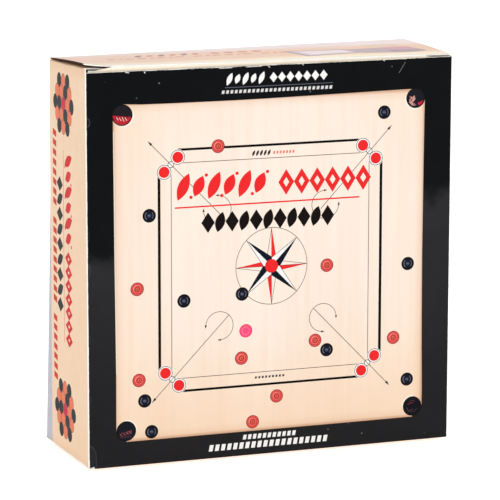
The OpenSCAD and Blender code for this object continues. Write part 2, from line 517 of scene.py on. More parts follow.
def triangulate(outline, loops=(), pts=()):
    verts, edges = [], []
    for lp in [outline, *loops]:
        n0, n = len(verts), len(lp)
        verts += [Vector((float(a), float(b))) for a, b in lp]
        edges += [(n0 + i, n0 + (i + 1) % n) for i in range(n)]
    verts += [Vector((float(a), float(b))) for a, b in pts]
    got = geometry.delaunay_2d_cdt(verts, edges, [], 0, 1e-5)
    v = np.array([(a.x, a.y) for a in got[0]])
    f = np.array([list(t) for t in got[2] if len(t) == 3], int)
    mid = v[f].mean(1)
    f = f[inside(outline, mid)]
    a, b, c = v[f[:, 0]], v[f[:, 1]], v[f[:, 2]]
    area = (b[:, 0] - a[:, 0]) * (c[:, 1] - a[:, 1]) - (b[:, 1] - a[:, 1]) * (c[:, 0] - a[:, 0])
    f[area < 0] = f[area < 0][:, ::-1]
    f = f[np.abs(area) > 1e-9]
    used = np.unique(f)
    remap = np.full(len(v), -1)
    remap[used] = np.arange(len(used))
    return v[used], remap[f]


def slab(name, outline, to3, mats, t_out=0.0, t_in=-T, cell=5.0, holes=()):
    """A closed piece of board: outer face, inner face and a slightly rounded raw rim.
    mats are (outer, inner, rim)."""
    outline = divided(outline, cell)
    holes = [divided(h, cell) for h in holes]
    pts = grid_points(outline, cell, cell * 0.5)
    for h in holes:
        pts = pts[~inside(h, pts)]
    v, f = triangulate(outline, holes, pts)
    if holes:
        mid = v[f].mean(1)
        for h in holes:
            keep = ~inside(h, mid)
            f, mid = f[keep], mid[keep]
        used = np.unique(f)
        remap = np.full(len(v), -1)
        remap[used] = np.arange(len(used))
        v, f = v[used], remap[f]
    # directed rim edges
    e = np.concatenate([f[:, [0, 1]], f[:, [1, 2]], f[:, [2, 0]]])
    have = {(int(a), int(b)) for a, b in e}
    rim = [(a, b) for a, b in have if (b, a) not in have]
    n = len(v)
    normal = np.zeros((n, 2))
    for a, b in rim:
        d = v[b] - v[a]
        out = np.array([d[1], -d[0]]) / max(1e-9, np.hypot(*d))
        normal[a] += out
        normal[b] += out
    length = np.hypot(*normal.T)
    on = length > 1e-6
    normal[on] /= length[on, None]
    inset = 0.07
    soft = min(0.12, (t_out - t_in) * 0.3)
    flat = v - normal * inset * on[:, None]
    layers = [(flat, t_out), (v, t_out - soft), (v, t_in + soft), (flat, t_in)]
    rid = np.unique(np.array(rim).ravel())
    pos = {int(r): i for i, r in enumerate(rid)}
    k = len(rid)
    outer = to3(flat[:, 0], flat[:, 1], np.full(n, t_out))
    inner = to3(flat[:, 0], flat[:, 1], np.full(n, t_in))
    r1 = to3(v[rid, 0], v[rid, 1], np.full(k, t_out - soft))
    r2 = to3(v[rid, 0], v[rid, 1], np.full(k, t_in + soft))
    verts = np.concatenate([outer, inner, r1, r2])
    faces = [list(t) for t in f] + [list(t[::-1] + n) for t in f]
    index = [0] * len(f) + [1] * len(f)
    for a, b in rim:
        i, j = pos[a], pos[b]
        for (p0, p1), (q0, q1) in (((a, b), (2 * n + i, 2 * n + j)), ((2 * n + i, 2 * n + j), (2 * n + k + i, 2 * n + k + j)), ((2 * n + k + i, 2 * n + k + j), (n + a, n + b))):
            faces.append([p1, p0, q0, q1])
            index.append(2)
    return outward(add_object(name, verts, faces, mats, index))


def print_sheet(name, outline, to3, out_vec, base, shapes, keys, cell=6.0, w=0.0, lit=1.1, sheen=0.0):
    """The printed face of a panel. shapes are (key or sRGB colour, polygon), the later on top.
    keys name the materials of areas that aren't a spot ink."""
    outline = divided(outline, cell)
    loops = [divided(s[1], 5.0) for s in shapes]
    v, f = triangulate(outline, loops, grid_points(outline, cell, cell * 0.5))
    mid = v[f].mean(1)
    top = np.full(len(f), -1)
    for i, (key, poly) in enumerate(shapes):
        p = np.asarray(poly, float)
        near = np.where((mid[:, 0] >= p[:, 0].min()) & (mid[:, 0] <= p[:, 0].max()) & (mid[:, 1] >= p[:, 1].min()) & (mid[:, 1] <= p[:, 1].max()))[0]
        if len(near):
            top[near[inside(poly, mid[near])]] = i
    names = list(keys)
    mats = [keys[k] for k in names] + [M_INK]
    index = np.empty(len(f), int)
    color = np.zeros((len(f), 4), np.float32)
    color[:, 3] = 1
    for i in range(-1, len(shapes)):
        key = base if i < 0 else shapes[i][0]
        at = top == i
        if isinstance(key, str):
            index[at] = names.index(key)
            color[at, :3] = 0.5
        else:
            index[at] = len(names)
            color[at, :3] = [max(0.0012, v - sheen / lit) for v in lin(key, lit)]
    p3 = to3(v[:, 0], v[:, 1], np.full(len(v), w))
    a, b, c = p3[f[:, 0]], p3[f[:, 1]], p3[f[:, 2]]
    if (np.cross(b - a, c - a).sum(0) @ np.asarray(out_vec, float)) < 0:
        f = f[:, ::-1]
    ob = add_object(name, p3, f, mats, index)
    att = ob.data.color_attributes.new("ink", "FLOAT_COLOR", "CORNER")
    att.data.foreach_set("color", np.repeat(color, 3, 0).ravel())
    return ob


def strip(name, outer, normal, mats, thick=T - 0.02):
    """A closed bent strip of board. outer is (along, across, 3), with normals to match."""
    na, nt = outer.shape[:2]
    inner = outer - normal * thick
    verts = np.concatenate([outer.reshape(-1, 3), inner.reshape(-1, 3)])
    k = na * nt
    at = lambda i, j: i * nt + j
    faces = []
    index = []
    for i in range(na - 1):
        for j in range(nt - 1):
            faces.append([at(i, j), at(i + 1, j), at(i + 1, j + 1), at(i, j + 1)])
            faces.append([k + at(i, j), k + at(i, j + 1), k + at(i + 1, j + 1), k + at(i + 1, j)])
            index += [0, 1]
    for i in range(na - 1):
        for j in (0, nt - 1):
            faces.append([at(i, j), at(i + 1, j), k + at(i + 1, j), k + at(i, j)])
            index.append(2)
    for j in range(nt - 1):
        for i in (0, na - 1):
            faces.append([at(i, j), at(i, j + 1), k + at(i, j + 1), k + at(i, j)])
            index.append(2)
    ob = add_object(name, verts, faces, mats, index)
    att = ob.data.attributes.new("across", "FLOAT", "POINT")
    t = np.tile(np.linspace(0, 1, nt), na)
    att.data.foreach_set("value", np.concatenate([t, t]).astype(np.float32))
    return outward(ob)


def stack(*cols):
    return np.stack(np.broadcast_arrays(*cols), -1).astype(float)


# ---- how the carton has settled: its lid stands a little open, its corners have sprung ------

LIFT_X = [-83.0, -79.0, -75.0, -71.0, -50.0, 0.0, 50.0, 75.0, 83.0]
LIFT_Z = [3.9, 3.3, 2.9, 2.6, 2.2, 1.85, 1.5, 1.2, 1.1]


def front_lift(x):
    return np.interp(x, LIFT_X, LIFT_Z)


def rear_lift(x):
    return np.interp(x, [-83, -40, 0, 30, 83], [0.1, 0.5, 0.85, 1.15, 1.5])


def lid_lift(x, y):
    t = np.clip((YB - R - y) / (YB - R - YT), 0, 1)
    return rear_lift(x) * (1 - t) + front_lift(x) * t + 0.25 * np.sin(PI * t)


def side_lift(y, left=True):
    t = np.clip((25.0 - y) / 50.0, 0, 1)
    return 0.02 + 2.45 * t ** 1.35 if left else 0.05 + 0.85 * t ** 1.4


def back_top(x, z):
    return z + rear_lift(x) * smooth(z, 150, H - R)


def racked(p):
    """The carton is glued a little askew: its lower left rear corner stands out and up."""
    p = np.array(p, float)
    k = np.clip((p[..., 1] - YF) / (YB - YF), 0, 1) * (1 - np.clip(p[..., 2] / H, 0, 1)) ** 1.35 * np.clip((HW - p[..., 0]) / (2 * HW), 0, 1)
    p[..., 0] -= 3.9 * k
    p[..., 2] += 1.2 * k
    return p


def to_front(u, v, w):
    b = 0.30 * np.cos(PI * np.clip(u / HW, -1, 1) / 2) * np.sin(PI * np.clip(v / H, 0, 1))
    return stack(u, YF - w - b, v)


def to_back(u, v, w):
    b = 0.25 * np.cos(PI * np.clip(u / HW, -1, 1) / 2) * np.sin(PI * np.clip(v / H, 0, 1))
    return racked(stack(u, YB + w + b, back_top(u, v)))


def to_left(u, v, w):
    b = 0.30 * np.cos(PI * np.clip(u / YB, -1, 1) / 2) * np.sin(PI * np.clip(v / H, 0, 1))
    return racked(stack(-HW - w - b, u, v + side_lift(u) * smooth(v, 140, H - R)))


def to_right(u, v, w):
    b = 0.25 * np.cos(PI * np.clip(u / YB, -1, 1) / 2) * np.sin(PI * np.clip(v / H, 0, 1))
    return stack(HW + w + b, u, v + side_lift(u, False) * smooth(v, 140, H - R))


def to_lid(u, v, w):
    return stack(u, v, H + lid_lift(u, v) + w)


def to_bottom(u, v, w):
    return racked(stack(u, v, -w))


# ---- artwork shapes ------------------------------------------------------------------------------


def circle(cx, cy, r, n=36, ry=None):
    ry = ry or r
    return [(cx + r * math.cos(2 * PI * i / n), cy + ry * math.sin(2 * PI * i / n)) for i in range(n)]


def rect(x0, y0, x1, y1):
    return [(x0, y0), (x1, y0), (x1, y1), (x0, y1)]


def line(a, b, w):
    (x0, y0), (x1, y1) = a, b
    d = math.dist(a, b)
    nx, ny = -(y1 - y0) / d * w / 2, (x1 - x0) / d * w / 2
    return [(x0 + nx, y0 + ny), (x1 + nx, y1 + ny), (x1 - nx, y1 - ny), (x0 - nx, y0 - ny)]


def arc(cx, cy, r, a0, a1, w, n=40):
    a0, a1 = math.radians(a0), math.radians(a1)
    t = [a0 + (a1 - a0) * i / n for i in range(n + 1)]
    return [(cx + (r + w / 2) * math.cos(a), cy + (r + w / 2) * math.sin(a)) for a in t] + [
        (cx + (r - w / 2) * math.cos(a), cy + (r - w / 2) * math.sin(a)) for a in reversed(t)]


def head(tip, towards, length=1.9, half=0.55):
    """An arrowhead at tip, pointing along towards."""
    dx, dy = towards
    d = math.hypot(dx, dy)
    dx, dy = dx / d, dy / d
    bx, by = tip[0] - dx * length, tip[1] - dy * length
    return [tip, (bx - dy * half, by + dx * half), (bx + dy * half, by - dx * half)]


def leaf(cx, cy, w, h, tilt, n=9):
    t = [-1 + 2 * i / n for i in range(n + 1)]
    pts = [(w / 2 * (1 - a * a), h / 2 * a) for a in t] + [(-w / 2 * (1 - a * a), h / 2 * a) for a in reversed(t[1:-1])]
    c, s = math.cos(math.radians(tilt)), math.sin(math.radians(tilt))
    return [(cx + x * c - y * s, cy + x * s + y * c) for x, y in pts]


def block(x, y, w, h, slant=0.18):
    k = slant * h
    return [(x, y), (x + w, y), (x + w + k, y + h), (x + k, y + h)]


def lozenge(cx, cy, w, h):
    return [(cx - w / 2, cy), (cx, cy - h / 2), (cx + w / 2, cy), (cx, cy + h / 2)]


def clip_circle(cx, cy, r, poly_keep, n=48):
    """The part of a circle on one side of a line, as (a, b, c) with a x + b y > c kept."""
    a, b, c = poly_keep
    pts = circle(cx, cy, r, n)
    out = []
    for p, q in zip(pts, pts[1:] + pts[:1]):
        dp, dq = a * p[0] + b * p[1] - c, a * q[0] + b * q[1] - c
        if dp >= 0:
            out.append(p)
        if dp * dq < 0:
            t = dp / (dp - dq)
            out.append((p[0] + (q[0] - p[0]) * t, p[1] + (q[1] - p[1]) * t))
    return out


def row(x0, x1, y0, y1, pattern, slant=0.18, gap=0.28):
    """Solid slanted bars of the pattern's widths between x0 and x1; a negative width is a space."""
    total = sum(abs(p) for p in pattern)
    unit = (x1 - x0 - slant * (y1 - y0)) / total
    out, x = [], x0
    for p in pattern:
        if p > 0:
            out.append(block(x, y0, p * unit * (1 - gap), y1 - y0, slant))
        x += abs(p) * unit
    return out


RED = (242, 48, 50)
BLACK = (24, 26, 30)
WHITE = (250, 248, 245)


def printed_man(cx, cy, kind, r=2.97):
    s = []
    if kind == "salmon":
        s += [((150, 44, 48), circle(cx, cy, r)), ((232, 88, 84), circle(cx, cy, r * 0.88)),
              ((196, 58, 60), circle(cx, cy, r * 0.70)), ((248, 126, 114), circle(cx - 0.06, cy + 0.06, r * 0.61)),
              ((222, 78, 74), circle(cx, cy, r * 0.50)), ((252, 164, 150), arc(cx, cy, r * 0.56, 95, 190, 0.26, 12)),
              ((168, 48, 48), circle(cx + 0.04, cy - 0.04, r * 0.37)), ((240, 112, 94), circle(cx + 0.04, cy - 0.02, r * 0.26, 18)),
              ((146, 66, 46), circle(cx + 0.08, cy - 0.06, r * 0.13, 12))]
    elif kind == "pink":
        s += [((240, 60, 110), circle(cx, cy, r)), ((252, 84, 130), circle(cx, cy, r - 0.35)),
              ((254, 120, 155), circle(cx - 0.1, cy, r * 0.66)), ((250, 84, 130), circle(cx, cy, r * 0.5))]
    else:
        s += [((12, 12, 17), circle(cx, cy, r)), ((28, 30, 40), circle(cx, cy, r * 0.82)),
              ((112, 116, 132), arc(cx, cy, r * 0.60, 130, 235, 0.34, 12)),
              ((98, 102, 120), arc(cx, cy, r * 0.60, -45, 50, 0.32, 12)),
              ((20, 21, 30), circle(cx, cy, r * 0.44, 24)), ((58, 62, 82), circle(cx, cy, r * 0.32, 20)),
              ((150, 154, 172), circle(cx - 0.3, cy + 0.05, 0.2, 10)), ((132, 136, 156), circle(cx + 0.3, cy - 0.05, 0.2, 10))]
    return s


def hexagon_of_men(cy, cz, pitch, squeeze=0.866):
    """The game's opening layout of nineteen, rows of three, four, five, four, three."""
    dark, pale, queen = (58, 64, 67), (246, 138, 104), (216, 60, 88)
    rows = ["DPD", "PPDP", "DDQPD", "PPDP", "DPD"]
    s = []
    for i, r in enumerate(rows):
        z = cz + (2 - i) * pitch * squeeze
        for j, c in enumerate(r):
            y = cy + ((len(r) - 1) / 2 - j) * pitch
            s.append((dark if c == "D" else (172, 96, 78), circle(y, z, pitch * 0.53, 28)))
            if c != "D":
                s.append(({"P": pale, "Q": queen}[c], circle(y, z, pitch * 0.47, 28)))
    return s


def front_artwork():
    s = []
    fx0, fx1, fz0, fz1 = -71.2, 70.3, 10.7, 156.4
    pockets = {"tl": (-67.0, 151.6, 4.56), "tr": (65.9, 152.6, 4.4), "bl": (-66.15, 15.4, 4.4), "br": (65.9, 15.5, 4.4)}
    # the picture's frame is not quite square
    west = [(-71.1, fz1), (-71.05, 144.8), (-70.93, 118.8), (-70.85, 92.7), (-70.63, 66.7), (-70.45, 40.7), (-70.55, 21.0), (-70.55, fz0)]
    east = [(70.3, fz0), (70.45, 22.0), (70.35, 29.0), (70.1, 42.6), (69.95, 56.2), (69.8, 83.4), (69.85, 97.0), (69.95, 124.2), (70.1, 144.6), (70.3, 156.6)]
    north = [(60.0, 156.6), (36.5, 156.2), (23.0, 156.0), (9.5, 155.8), (-4.5, 155.6), (-18.0, 155.5), (-45.0, 155.55), (-58.5, 155.7)]
    s.append(("field", west + east + north))
    # bright line inside the frame's left edge
    lit = [q for q in west if 39 < q[1] < 150]
    s.append(((252, 236, 214), lit + [(x + 0.35, z) for x, z in lit[::-1]]))
    # the frame closes in behind each pocket
    for k, (cx, cz, r) in pockets.items():
        ex, ez = (cx - 5.2 if "l" in k else cx + 5.2), (cz + 5.2 if "t" in k else cz - 5.2)
        s.append(("border", rect(min(cx, ex), min(cz, ez), max(cx, ex), max(cz, ez))))
    for k, (cx, cz, r) in pockets.items():
        s.append(("border", circle(cx, cz, r + 0.0, 48)))
        s.append(((255, 246, 236), arc(cx, cz, r + 0.28, *{"tl": (-98, 12), "tr": (170, 280), "bl": (-4, 96), "br": (82, 188)}[k], 0.5, 30)))
        s.append(((9, 9, 11), circle(cx, cz, r, 48)))
        s.append(({"tl": (38, 36, 41), "tr": (34, 34, 40), "bl": (30, 33, 42), "br": (27, 28, 34)}[k], circle(cx, cz, r - 0.45, 48)))
    # nets in the pockets
    cx, cz, r = pockets["tl"]
    s.append(((190, 44, 56), clip_circle(cx, cz, r - 0.45, (-0.12, -1, -(cz - 0.5) - 0.12 * cx))))
    for i in range(7):
        x = cx - 3.0 + i * 0.85
        s.append(((96, 18, 28), line((x + 0.5, cz - 0.6), (x - 0.3, cz - 2.5 + 0.2 * abs(i - 3)), 0.3)))
    for i in range(4):
        x = cx - 2.5 + i * 1.25
        s.append(((248, 186, 178), line((x, cz - 0.8 - 0.2 * (i % 2)), (x + 0.8, cz - 2.7 + 0.3 * abs(i - 2)), 0.36)))
    cx, cz, r = pockets["tr"]
    s.append(((204, 150, 142), [(cx - 2.9, cz - 0.6), (cx - 0.6, cz + 1.2), (cx - 0.1, cz - 0.6), (cx - 1.2, cz - 1.6), (cx + 0.3, cz - 3.2), (cx - 1.6, cz - 3.3), (cx - 3.0, cz - 1.9)]))
    for i in range(9):
        s.append(((244, 204, 194) if i % 2 else (150, 92, 88), circle(cx - 2.7 + 0.62 * (i % 3) + 0.2 * (i // 3), cz + 0.7 - 0.95 * (i // 3) - 0.34 * (i % 3), 0.30, 10)))
    for i in range(6):
        s.append(((58, 28, 32), circle(cx - 2.5 + 0.42 * i, cz - 0.1 - 0.55 * i, 0.26, 10)))
    s.append(((205, 40, 66), [(cx + 0.9, cz - 2.3), (cx + 3.6, cz - 1.1), (cx + 2.9, cz - 2.4), (cx + 1.6, cz - 3.4)]))
    cx, cz, r = pockets["bl"]
    for i in range(4):
        x = cx - 2.8 + i * 1.35
        s.append(((150, 78, 84), line((x, cz - 1.0 + 0.35 * i), (x + 1.2, cz - 2.4 + 0.35 * i), 0.26)))
        s.append(((176, 92, 100) if i > 1 else (120, 74, 80), line((x + 1.1, cz - 0.4 + 0.2 * i), (x + 0.1, cz - 1.8 + 0.2 * i), 0.26)))
        s.append(((96, 60, 64), line((x - 0.2, cz - 2.2), (x + 1.3, cz - 3.1 + 0.1 * i), 0.24)))
    cx, cz, r = pockets["br"]
    s.append(((104, 46, 54), line((cx - 2.2, cz + 0.9), (cx + 0.6, cz + 1.7), 0.5)))
    s.append(((84, 44, 52), line((cx - 2.0, cz - 2.2), (cx + 0.4, cz - 1.4), 0.45)))
    s.append(((64, 52, 56), line((cx + 0.8, cz - 2.6), (cx + 2.4, cz - 1.2), 0.4)))
    s.append(((92, 52, 58), arc(cx, cz, 2.5, 60, 130, 0.34, 10)))
    s.append(((70, 60, 62), arc(cx, cz, 2.6, 190, 300, 0.3, 12)))

    # base lines: a thick and a thin rule on each side
    GREY = (112, 102, 96)
    x0, x1, xi0, xi1 = -51.0, 50.0, -45.6, 44.4
    z0, z1, zi0, zi1 = 31.0, 135.7, 36.6, 130.0
    LINE = (12, 14, 18)
    s.append((LINE, rect(-42.6, z1 - 0.52, 41.5, z1 + 0.52)))
    s.append((LINE, rect(-42.4, z0 - 0.52, 41.5, z0 + 0.52)))
    s.append((LINE, rect(x0 - 0.62, 39.4, x0 + 0.62, 126.4)))
    s.append((LINE, rect(x1 - 0.64, 39.8, x1 + 0.64, 127.3)))
    s.append((GREY, rect(-42.6, zi1 - 0.15, 41.5, zi1 + 0.15)))
    s.append((GREY, rect(-42.4, zi0 - 0.15, 41.5, zi0 + 0.15)))
    s.append((GREY, rect(xi0 - 0.15, 39.4, xi0 + 0.15, 126.4)))
    s.append((GREY, rect(xi1 - 0.15, 39.8, xi1 + 0.15, 127.3)))

    # diagonal arrows and their arcs
    THIN = (62, 56, 54)
    for outer, inner, c, a0, a1 in (
        ((-55.8, 139.9), (-23.4, 106.7), (-25.0, 109.0), -180, 90),
        ((54.7, 141.2), (22.1, 106.6), (24.2, 108.4), 90, 360),
        ((-54.5, 27.0), (-19.9, 62.7), (-24.1, 58.4), -90, 180),
        ((54.8, 26.0), (19.1, 62.9), (23.3, 58.6), 0, 270),
    ):
        s.append((THIN, line(outer, inner, 0.26)))
        s.append(((50, 46, 44), head(outer, (outer[0] - inner[0], outer[1] - inner[1]), 2.2, 0.6)))
        r = 6.2
        s.append((THIN, arc(*c, r, a0, a1, 0.24)))
        for a, turn in ((a0, -1), (a1, 1)):
            a = math.radians(a)
            tip = (c[0] + r * math.cos(a), c[1] + r * math.sin(a))
            way = (-math.sin(a) * turn, math.cos(a) * turn)
            s.append(((50, 46, 44), head((tip[0] + way[0] * 0.9, tip[1] + way[1] * 0.9), way, 1.5, 0.5)))

    # corner circles of the base lines
    for cx, cz in ((-42.6, 132.5), (-48.7, 126.4), (41.5, 133.2), (47.5, 127.3), (-48.5, 39.4), (-42.4, 33.6), (47.6, 39.8), (41.5, 33.6)):
        s += [((255, 250, 244), circle(cx, cz, 3.42)), ((44, 40, 40), circle(cx, cz, 3.18)), ((255, 250, 244), circle(cx, cz, 2.93)), (RED, circle(cx, cz, 2.42))]
    for cx, cz, o, i in ((-45.7, 129.5, (-55.8, 139.9), (-23.4, 106.7)), (44.5, 130.6, (54.7, 141.2), (22.1, 106.6)),
                         (-45.5, 36.5, (-54.5, 27.0), (-19.9, 62.7)), (44.3, 36.8, (54.8, 26.0), (19.1, 62.9))):
        s += [((60, 54, 52), circle(cx, cz, 1.44, 24)), ((255, 249, 242), circle(cx, cz, 1.16, 24))]
        d = (i[0] - o[0], i[1] - o[1])
        k = 1.3 / math.hypot(*d)
        s.append((THIN, line((cx - d[0] * k, cz - d[1] * k), (cx + d[0] * k, cz + d[1] * k), 0.24)))

    # eight-pointed star
    cx, cz, R8, r8 = -0.4, 83.0, 16.5, 4.6
    s += [((104, 96, 92), circle(cx, cz, 16.38, 96, 16.9)), ("field", circle(cx, cz, 16.12, 96, 16.62))]

    def polar(r, deg):
        return (cx + r * math.cos(math.radians(deg)), cz + r * 1.03 * math.sin(math.radians(deg)))

    o = (cx, cz)
    for deg in (0, 90, 180, 270):
        p, cw, ccw = polar(16.3, deg), polar(5.4, deg - 20), polar(5.4, deg + 20)
        s += [(THIN, line(ccw, p, 0.2)), (RED, [o, cw, p]), (THIN, line(o, p, 0.18))]
    for deg in (45, 135, 225, 315):
        p, cw, ccw = polar(16.3, deg), polar(4.0, deg - 45), polar(3.7, deg + 42)
        s += [(WHITE, [o, ccw, p]), (THIN, line(ccw, p, 0.2)), ((22, 30, 42), [o, cw, p])]
    s += [((196, 34, 38), circle(cx, cz, 3.0, 32)), (RED, circle(cx, cz, 2.85, 32))]

    # plain ornament where the maker's wording was
    zc = 119.6
    for i in range(6):
        x = -40.2 + i * 6.9
        s.append((RED, leaf(x, zc, 4.9, 12.6 if i % 2 == 0 else 9.6, -24)))
        s.append((RED, circle(x + 3.4, zc - 4.6 + 9.2 * (i % 2), 0.75, 16)))
    for i in range(6):
        x = 6.2 + i * 7.1
        s.append((RED, lozenge(x, 119.2, 7.2, 11.2)))
        s.append(("field", lozenge(x, 119.2, 2.7, 4.2)))
    s.append((RED, rect(-44.0, 110.45, 40.0, 111.1)))
    K = (30, 24, 22)
    for i in range(11):
        x = -29.2 + i * 5.45
        s.append((K, lozenge(x, 103.6, 6.0, 9.0) if i % 2 == 0 else leaf(x, 103.6, 4.4, 9.0, -16)))
    for i in range(5):
        s.append(((60, 52, 50), leaf(-8.6 + i * 1.75, 132.4, 1.1, 2.9, -24, 5)))
    for b in row(0.2, 10.6, 131.7, 132.9, [1] * 7, 0.2, 0.42):
        s.append(((238, 130, 112), b))
    for b in row(-8.0, 6.4, 33.8, 34.8, [1] * 9, 0.2, 0.42):
        s.append(((74, 66, 62), b))
    for i in range(5):
        s.append((WHITE, leaf(-19.4 + i * 3.6, 164.6, 2.3, 5.8 if i % 2 == 0 else 4.4, -24, 7)))
    for i in range(7):
        s.append((WHITE, lozenge(0.4 + i * 3.8, 164.6, 3.5, 4.4)))
    s.append(((120, 122, 140), rect(-21.5, 160.95, 27.5, 161.15)))
    for b in row(-23.0, 28.0, 158.5, 159.9, [1] * 26, 0.2, 0.40):
        s.append(((226, 224, 222), b))
    for b in row(-13.4, 12.0, 7.1, 9.2, [1] * 11, 0.2, 0.36):
        s.append((WHITE, b))
    for b in row(-29.0, 27.0, 3.1, 5.9, [1] * 20, 0.2, 0.36):
        s.append((WHITE, b))

    # printed men
    for cx, cz in ((-24.6, 136.3), (-60.9, 76.9), (-60.3, 37.2), (25.1, 81.6), (-14.1, 43.4), (2.1, 25.3), (-8.9, 14.7), (19.8, 48.7), (56.5, 47.2)):
        s += printed_man(cx, cz, "salmon")
    for cx, cz in ((51.3, 147.1), (-55.4, 108.2), (-40.1, 70.4), (-57.8, 28.0), (-54.8, 14.2), (-13.8, 71.6), (63.0, 79.8), (25.2, 44.1), (63.2, 27.9)):
        s += printed_man(cx, cz, "black")
    s += printed_man(-12.1, 55.3, "pink")

    # wear: the ink has flaked along the top edge, most at the left
    def ragged(x_from, x_to, depth, step=0.7):
        xs = np.arange(x_from, x_to, step)
        lo = [(float(x), float(H - max(0.04, depth(x) + rng.normal(0, 0.055)))) for x in xs]
        return lo + [(x_to, H + 0.1), (x_from, H + 0.1)]

    s.append(((246, 240, 230), ragged(-82.4, 82.4, lambda x: np.interp(x, [-83, -60, -30, 10, 60, 83], [0.16, 0.26, 0.30, 0.26, 0.16, 0.10]))))
    # slivers of black left in the flaked band
    for x, length, dz, w in ((-78, 7, 0.25, 0.16), (-66.5, 10, 0.22, 0.2), (-52, 5, 0.2, 0.14), (-38, 12, 0.16, 0.14), (-22, 16, 0.14, 0.14), (2, 8, 0.12, 0.1), (20, 12, 0.1, 0.08)):
        s.append(((40, 38, 38), line((x, H - dz), (x + length, H - dz * 0.75), w)))
    # nicks
    for x, z, dx, dz, w in ((-65.6, 169.7, 1.8, -0.45, 0.4), (-57.3, 169.6, 0.5, -0.8, 0.4), (-24, 169.4, 6, 0.1, 0.3), (-12, 169.5, 7, 0.05, 0.25),
                            (50.6, 169.8, 0.7, -0.5, 0.35), (-2.2, 169.6, 1.0, -0.8, 0.3), (13.4, 169.7, 0.6, -0.6, 0.3)):
        s.append(((238, 232, 222), line((x, z), (x + dx, z + dz), w)))
    # a scratch on the frame; the crescents down its left edge and the marks at its lower left are painted highlights,
    # reflections off small dents and a crease in the board
    DENT_GLINT = (66, 66, 70)
    s.append(((128, 126, 126), line((60.9, 168.4), (58.0, 163.9), 0.22)))
    s.append(((104, 102, 102), circle(54.7, 166.8, 0.30, 10)))
    for z0_, z1_, k in ((151.6, 146.7, 1.5), (89.9, 82.6, 1.2), (58.6, 53.7, 0.9), (32.0, 28.3, 0.9), (104.0, 97.5, 0.7)):
        zc_, hh = (z0_ + z1_) / 2, (z0_ - z1_) / 2
        s.append((DENT_GLINT if k > 1 else (56, 56, 60), [(-82.4, zc_ + hh), (-82.4 + k * 0.8, zc_ + hh * 0.55), (-82.4 + k, zc_), (-82.4 + k * 0.8, zc_ - hh * 0.55),
                                                (-82.4, zc_ - hh), (-82.4, zc_ - hh * 0.75), (-82.4 + k * 0.55, zc_ - hh * 0.4), (-82.4 + k * 0.7, zc_), (-82.4 + k * 0.55, zc_ + hh * 0.4), (-82.4, zc_ + hh * 0.75)]))
    # painted reflection off a curved crease at the frame's lower left corner
    s.append(((60, 61, 65), [(-82.35, 10.6), (-80.6, 9.4), (-79.5, 7.0), (-79.3, 3.0), (-79.4, 0.2), (-79.75, 0.2), (-79.7, 3.0), (-79.9, 6.8), (-80.9, 8.9), (-82.35, 9.9)]))
    s.append(((44, 45, 49), [(-82.35, 9.9), (-80.9, 8.9), (-79.9, 6.8), (-79.7, 3.0), (-79.75, 0.2), (-82.35, 0.2)]))
    s.append(((240, 238, 234), [(-82.4, -0.1), (-82.4, 0.9), (-81.6, 0.5), (-80.9, 0.95), (-80.2, 0.4), (-80.3, -0.1)]))
    return s


def side_artwork(left):
    s = []
    for cy, cz in ((5.4, 152.3), (5.9, 19.0)):
        s += hexagon_of_men(cy, cz, 6.1, 0.79)

    # columns of plain slanted bars and leaves, running along the height
    def column(y0, y1, z0, z1, count, ink, fill=0.62, slant=0.16, gaps=()):
        unit = (z1 - z0) / count
        for i in range(count):
            if i not in gaps:
                s.append((ink, [(y, z) for z, y in block(z0 + i * unit, y0, unit * fill, y1 - y0, slant)]))

    column(16.6, 21.9, 30, 141, 26, (226, 74, 62), 0.62, gaps=(7, 17))
    for i in range(9):
        z = 117.4 - i * 6.6
        s.append(((22, 20, 21), lozenge(11.4, z, 9.4, 6.5) if i % 2 == 0 else leaf(11.4, z, 4.6, 9.8, 64)))
    s.append(((222, 70, 74), rect(5.5, 49, 5.95, 133)))
    for i in range(6):
        z = 129.0 - i * 6.7
        s.append(((226, 34, 48), leaf(-1.4, z, 4.6, 11.8 if i % 2 == 0 else 9.2, 66)))
        s.append(((226, 34, 48), circle(3.2 - 8.8 * (i % 2), z - 3.0, 0.75, 14)))
    for i in range(7):
        z = 86.6 - i * 5.9
        s.append(((226, 34, 48), lozenge(-1.3, z, 10.0, 6.4)))
        s.append(("side", lozenge(-1.3, z, 2.6, 1.7)))
    if not left:
        return s
    # the print was laid down square to the front edge, so it leans with the panel
    out = []
    for ink, poly in s:
        q = []
        for y, z in poly:
            k = (1 - z / H) ** 1.35
            q.append(((y - 5.2 * k) / (1 + 0.193 * k), z))
        out.append((ink, q))
    return out


